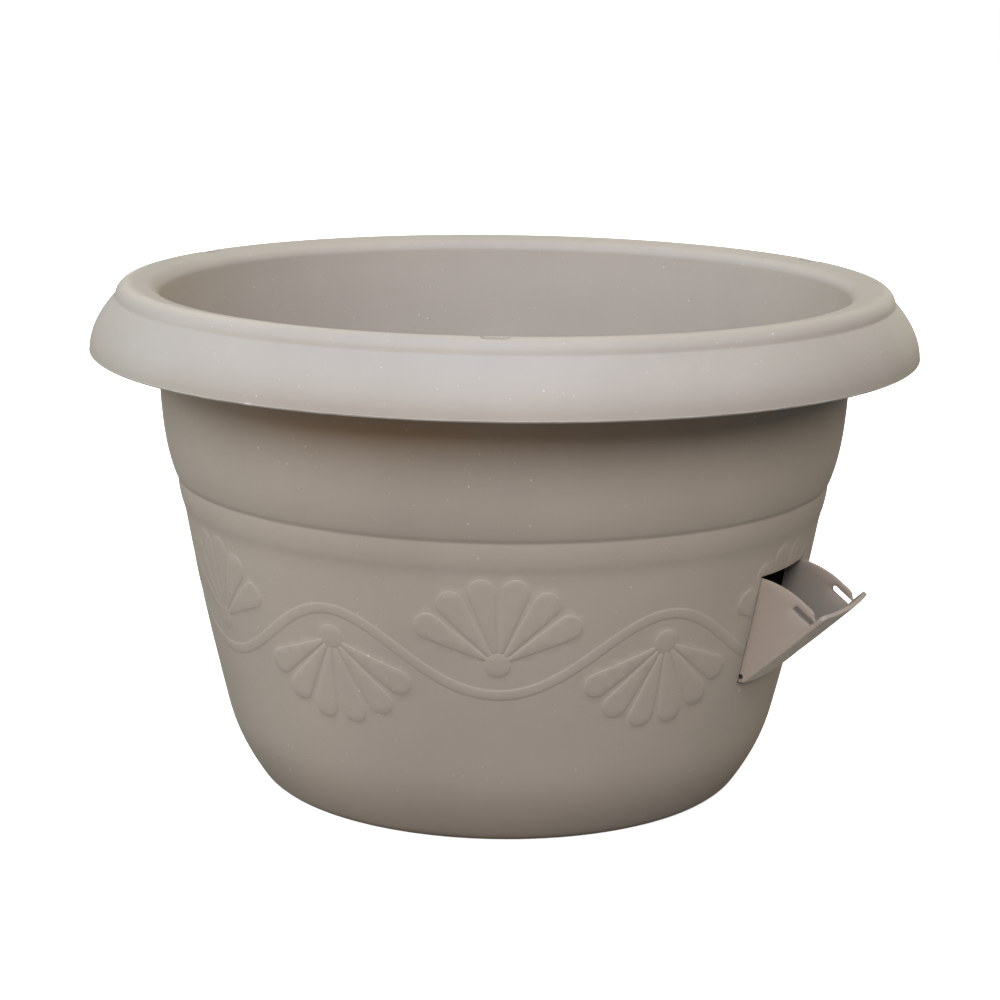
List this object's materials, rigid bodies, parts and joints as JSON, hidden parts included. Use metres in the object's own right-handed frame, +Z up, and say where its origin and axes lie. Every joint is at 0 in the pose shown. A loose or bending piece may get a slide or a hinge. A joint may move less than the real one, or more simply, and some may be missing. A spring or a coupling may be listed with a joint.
{
  "type": "hanging basket",
  "caption": "Round self-watering hanging basket with a rolled rim, slots for a hanger and a hinged filler flap on its side.",
  "frame": {"origin": "centre of the base, on the plane it rests on", "axes": "+Z up through the middle of the bowl, -Y to the front hanger slot, flap on the side 60 degrees round from -Y towards +X"},
  "size_m": [0.2999, 0.3, 0.1829],
  "materials": {
    "bowl_plastic": "fine matte moulded surface, taupe",
    "flap_plastic": "fine matte moulded surface, taupe",
    "pin_plastic": "plain dark moulding",
    "insert_plastic": "recycled black plastic, slightly mottled",
    "wick_felt": "needled synthetic felt"
  },
  "bodies": {
    "bowl": {"pot_shell": "bowl_plastic", "hinge_pin_left": "pin_plastic", "hinge_pin_right": "pin_plastic", "reservoir_plate": "insert_plastic", "filler_guard": "insert_plastic", "capillary_wick_left": "wick_felt", "capillary_wick_right": "wick_felt"},
    "flap": {"filler_flap": "flap_plastic"}
  },
  "joints": [
    {"name": "flap_hinge", "type": "hinge", "parent": "bowl", "child": "flap", "pos_m": [0.09266, -0.0535, 0.054], "axis": [0.5, 0.866, 0], "range_deg": [-36, 0]}
  ]
}
